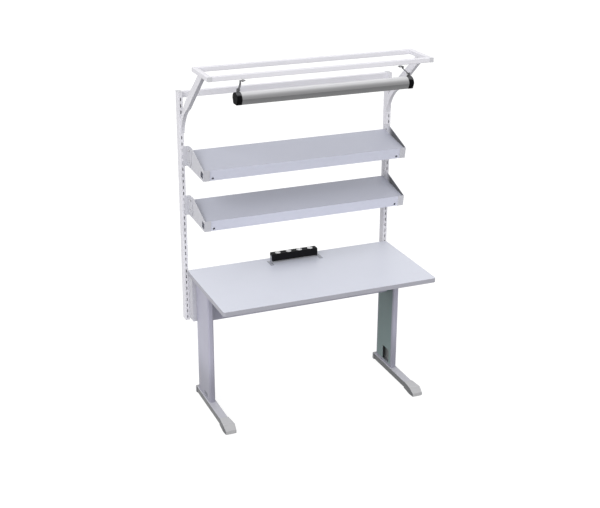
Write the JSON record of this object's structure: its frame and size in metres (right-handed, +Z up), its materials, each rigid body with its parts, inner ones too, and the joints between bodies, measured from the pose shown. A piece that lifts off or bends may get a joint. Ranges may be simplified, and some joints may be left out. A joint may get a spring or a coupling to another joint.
{
  "type": "workbench",
  "caption": "Laboratory workbench on C-shaped legs with tilting shelves on slotted uprights, a sliding tilting lamp under a top frame and a tilting power strip.",
  "frame": {"origin": "on the floor under the middle of the bench's overall box", "axes": "+X to the right of a person standing at the front, +Y from the front to the rear, +Z up"},
  "size_m": [1.53, 0.831, 2.368],
  "materials": {
    "laminate": "satin light grey-blue laminate",
    "edge_plastic": "satin grey edging",
    "frame_paint": "satin light grey powder coat",
    "foot_paint": "satin grey powder coat",
    "cover_paint": "satin dark grey powder coat",
    "column_paint": "satin grey powder coat",
    "shelf_paint": "satin blue-grey powder coat",
    "bracket_paint": "satin light grey powder coat",
    "foot_cap_plastic": "matt grey",
    "dark_plastic": "matt dark grey",
    "plug_plastic": "matt light grey",
    "rear_cap_plastic": "matt grey",
    "black_plastic": "semi-gloss black",
    "strap_steel": "satin dark grey",
    "ear_paint": "satin grey powder coat",
    "lamp_paint": "satin grey",
    "lamp_white": "gloss white",
    "diffuser_plastic": "prismatic opal",
    "tube_glass": "opal",
    "socket_plastic": "light grey",
    "bolt_steel": "zinc plated"
  },
  "bodies": {
    "bench": {"worktop_board": "laminate", "worktop_edge_band": "edge_plastic", "strip_screws": "bolt_steel", "frame_bolts": "bolt_steel", "glide_nuts": "bolt_steel", "left_upright_bracket": "bracket_paint", "right_upright_bracket": "bracket_paint", "strip_brackets": "ear_paint", "left_foot_beam": "foot_paint", "right_foot_beam": "foot_paint", "left_upright": "frame_paint", "right_upright": "frame_paint", "top_cross_rail": "frame_paint", "left_frame_arm": "frame_paint", "right_frame_arm": "frame_paint", "rear_frame_rail": "frame_paint", "front_frame_rail": "frame_paint", "left_light_arm": "frame_paint", "right_light_arm": "frame_paint", "left_column_cover": "cover_paint", "right_column_cover": "cover_paint", "left_column": "column_paint", "right_column": "column_paint", "left_support_arm": "column_paint", "right_support_arm": "column_paint", "cross_panel": "column_paint", "left_front_foot_cap": "foot_cap_plastic", "right_front_foot_cap": "foot_cap_plastic", "tube_plugs": "plug_plastic", "rear_foot_caps": "rear_cap_plastic", "upper_shelf_left_mount": "bracket_paint", "upper_shelf_right_mount": "bracket_paint", "lower_shelf_left_mount": "bracket_paint", "lower_shelf_right_mount": "bracket_paint"},
    "upper_shelf": {"upper_shelf_tray": "shelf_paint", "upper_shelf_left_side": "bracket_paint", "upper_shelf_right_side": "bracket_paint", "upper_shelf_bolts": "bolt_steel"},
    "lower_shelf": {"lower_shelf_tray": "shelf_paint", "lower_shelf_left_side": "bracket_paint", "lower_shelf_right_side": "bracket_paint", "lower_shelf_bolts": "bolt_steel"},
    "lamp_carriage": {"lamp_straps": "strap_steel", "lamp_sliders": "bolt_steel"},
    "lamp": {"lamp_housing": "lamp_paint", "left_lamp_end_cap": "black_plastic", "right_lamp_end_cap": "black_plastic", "lamp_diffuser": "diffuser_plastic", "lamp_reflector": "lamp_white", "lamp_tube": "tube_glass", "lamp_holders": "black_plastic", "lamp_ballast": "lamp_white", "lamp_pivot_bolts": "bolt_steel"},
    "power_strip": {"strip_body": "black_plastic", "strip_sockets": "socket_plastic", "strip_pivot_screws": "bolt_steel"},
    "left_front_glide": {"left_front_glide": "dark_plastic"},
    "right_front_glide": {"right_front_glide": "dark_plastic"},
    "left_rear_glide": {"left_rear_glide": "dark_plastic"},
    "right_rear_glide": {"right_rear_glide": "dark_plastic"}
  },
  "joints": [
    {"name": "upper_shelf_tilt", "type": "hinge", "parent": "bench", "child": "upper_shelf", "pos_m": [0, 0.3115, 1.695], "axis": [1, 0, 0], "range_deg": [-10, 20]},
    {"name": "lower_shelf_tilt", "type": "hinge", "parent": "bench", "child": "lower_shelf", "pos_m": [0, 0.3115, 1.355], "axis": [1, 0, 0], "range_deg": [-10, 20]},
    {"name": "lamp_slide", "type": "slide", "parent": "bench", "child": "lamp_carriage", "axis": [1, 0, 0], "range_m": [-0.12, 0.12]},
    {"name": "lamp_tilt", "type": "hinge", "parent": "lamp_carriage", "child": "lamp", "pos_m": [0, -0.2435, 2.28], "axis": [1, 0, 0], "range_deg": [-45, 45]},
    {"name": "strip_tilt", "type": "hinge", "parent": "bench", "child": "power_strip", "pos_m": [0, 0.2615, 0.958], "axis": [1, 0, 0], "range_deg": [-20, 75]},
    {"name": "left_front_glide_height", "type": "slide", "parent": "bench", "child": "left_front_glide", "axis": [0, 0, -1], "range_m": [0, 0.012]},
    {"name": "right_front_glide_height", "type": "slide", "parent": "bench", "child": "right_front_glide", "axis": [0, 0, -1], "range_m": [0, 0.012]},
    {"name": "left_rear_glide_height", "type": "slide", "parent": "bench", "child": "left_rear_glide", "axis": [0, 0, -1], "range_m": [0, 0.012]},
    {"name": "right_rear_glide_height", "type": "slide", "parent": "bench", "child": "right_rear_glide", "axis": [0, 0, -1], "range_m": [0, 0.012]}
  ]
}
